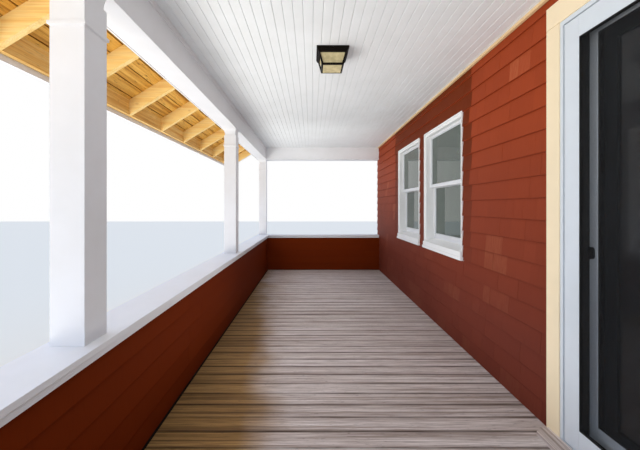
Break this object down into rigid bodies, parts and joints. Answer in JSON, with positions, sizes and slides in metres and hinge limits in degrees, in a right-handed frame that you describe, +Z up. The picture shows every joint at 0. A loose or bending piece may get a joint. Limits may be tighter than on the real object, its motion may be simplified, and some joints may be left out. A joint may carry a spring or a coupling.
{
  "type": "front porch",
  "caption": "Roofed front porch against a house wall: square posts on a shingled knee wall, boarded ceiling, open eaves, entry steps, windows and a sliding patio door with screen.",
  "frame": {"origin": "on the ground, under the middle of the porch's outline with its steps and roof", "axes": "+X along the porch from the far end in the picture to the near end, +Y towards the house, +Z up"},
  "size_m": [7.998, 3.32, 4.7776],
  "materials": {
    "red_shingle": "painted, satin",
    "white_paint": "painted, satin",
    "cream_paint": "painted, satin",
    "raw_timber": "sawn",
    "deck_board": "weathered stain",
    "concrete": "cast, rough",
    "roof_shingle": "mineral granules",
    "lantern_metal": "semi-gloss",
    "lantern_glass": "frosted",
    "white_vinyl": "satin",
    "clear_glass": "clear",
    "latch": "satin",
    "mesh": "woven",
    "house_board": "plain inner lining"
  },
  "bodies": {
    "porch": {"foundation": "concrete", "skirt_frame": "raw_timber", "floor_frame": "raw_timber", "deck_boards": "deck_board", "step_stringers": "white_paint", "step_treads": "deck_board", "front_knee_wall": "raw_timber", "entry_knee_wall": "raw_timber", "left_knee_wall": "raw_timber", "right_knee_wall": "raw_timber", "inner_shingles": "red_shingle", "outer_shingles": "red_shingle", "cap_rail": "white_paint", "post_1": "white_paint", "post_2": "white_paint", "post_3": "white_paint", "post_4": "white_paint", "front_beam": "white_paint", "left_beam": "white_paint", "right_beam": "white_paint", "ceiling_boards": "white_paint", "ceiling_strip": "cream_paint", "rafters": "raw_timber", "sub_fascia": "raw_timber", "fascia": "white_paint", "barge_boards": "white_paint", "gable_walls": "raw_timber", "roof_sheathing": "raw_timber", "roof_covering": "roof_shingle", "house_wall_left": "house_board", "house_wall_over_door": "house_board", "house_wall_right": "house_board", "house_shingles": "red_shingle", "window_casings": "white_paint", "window_sashes": "white_paint", "window_glass": "clear_glass", "door_casing": "cream_paint", "door_frame": "white_vinyl", "fixed_panel": "white_vinyl", "fixed_glass": "clear_glass", "door_threshold": "deck_board", "lantern_frame": "lantern_metal", "lantern_glass": "lantern_glass"},
    "sliding_door": {"sliding_panel": "white_vinyl", "sliding_glass": "clear_glass", "door_latch": "latch"},
    "screen_door": {"screen_panel": "white_vinyl", "screen_mesh": "mesh"}
  },
  "joints": [
    {"name": "door_slide", "type": "slide", "parent": "porch", "child": "sliding_door", "axis": [1, 0, 0], "range_m": [0, 0.8]},
    {"name": "screen_slide", "type": "slide", "parent": "porch", "child": "screen_door", "axis": [1, 0, 0], "range_m": [0, 0.8]}
  ]
}
